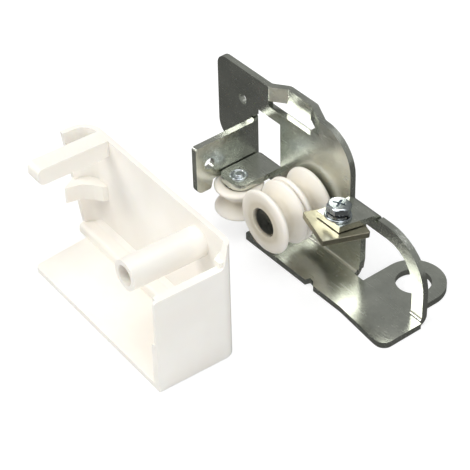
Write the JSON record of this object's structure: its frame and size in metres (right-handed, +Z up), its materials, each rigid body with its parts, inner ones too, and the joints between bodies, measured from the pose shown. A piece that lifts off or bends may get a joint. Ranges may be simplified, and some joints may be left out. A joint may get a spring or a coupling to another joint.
{
  "type": "sliding door roller",
  "caption": "Bent steel roller bracket for a sliding door, with grooved nylon wheels, a guide wheel, an adjusting screw with its clamp plate, and a loose white cover.",
  "frame": {"origin": "middle of the underside of the bracket's floor", "axes": "+Z up, away from the floor; +X along the wheels' travel, from the ear towards the lug; +Y from the wheels towards the back of the wall"},
  "size_m": [0.1134, 0.1074, 0.0538],
  "materials": {
    "bright_zinc": "bright zinc plate, smooth",
    "dark_steel": "dark, satin",
    "nylon": "satin",
    "white_plastic": "semi-gloss",
    "brass": "satin"
  },
  "bodies": {
    "bracket": {"mounting_bracket": "bright_zinc", "main_axle": "dark_steel", "axle_back_washer": "bright_zinc", "roller_spacer_washer": "bright_zinc", "guide_axle": "bright_zinc", "guide_top_washer": "bright_zinc", "guide_bottom_washer": "bright_zinc", "screw_flat_washer": "bright_zinc"},
    "front_wheel": {"front_main_roller": "nylon", "front_roller_bush": "brass"},
    "rear_wheel": {"rear_main_roller": "nylon", "rear_roller_bush": "brass"},
    "guide_wheel": {"guide_roller": "nylon", "guide_roller_bush": "brass"},
    "screw": {"adjusting_screw": "bright_zinc", "screw_spring_washer": "bright_zinc"},
    "plate": {"clamp_plate": "bright_zinc"},
    "cover": {"cover": "white_plastic"}
  },
  "joints": [
    {"name": "front_roller_spin", "type": "hinge", "parent": "bracket", "child": "front_wheel", "pos_m": [-0.0185, -0.00905, 0.0213], "axis": [0, 1, 0], "continuous": true},
    {"name": "rear_roller_spin", "type": "hinge", "parent": "bracket", "child": "rear_wheel", "pos_m": [-0.0185, 0.00175, 0.0213], "axis": [0, 1, 0], "continuous": true},
    {"name": "guide_roller_spin", "type": "hinge", "parent": "bracket", "child": "guide_wheel", "pos_m": [-0.0421, -0.0056, 0.0148], "axis": [0, 0, 1], "continuous": true},
    {"name": "screw_turn", "type": "hinge", "parent": "bracket", "child": "screw", "pos_m": [0.0062, -0.00286, 0.03356], "axis": [0, 0.0872, 0.9962], "range_deg": [-30, 1080]},
    {"name": "clamp_slide", "type": "slide", "parent": "bracket", "child": "plate", "axis": [0, 0.0872, 0.9962], "range_m": [-0.0024, 0.00007]},
    {"name": "cover_slide", "type": "slide", "parent": "bracket", "child": "cover", "axis": [0, 1, 0], "range_m": [-0.03, 0.02]}
  ],
  "couplings": [
    {"joint": "screw_turn", "follows": "clamp_slide", "rad_per_m": -7854}
  ]
}
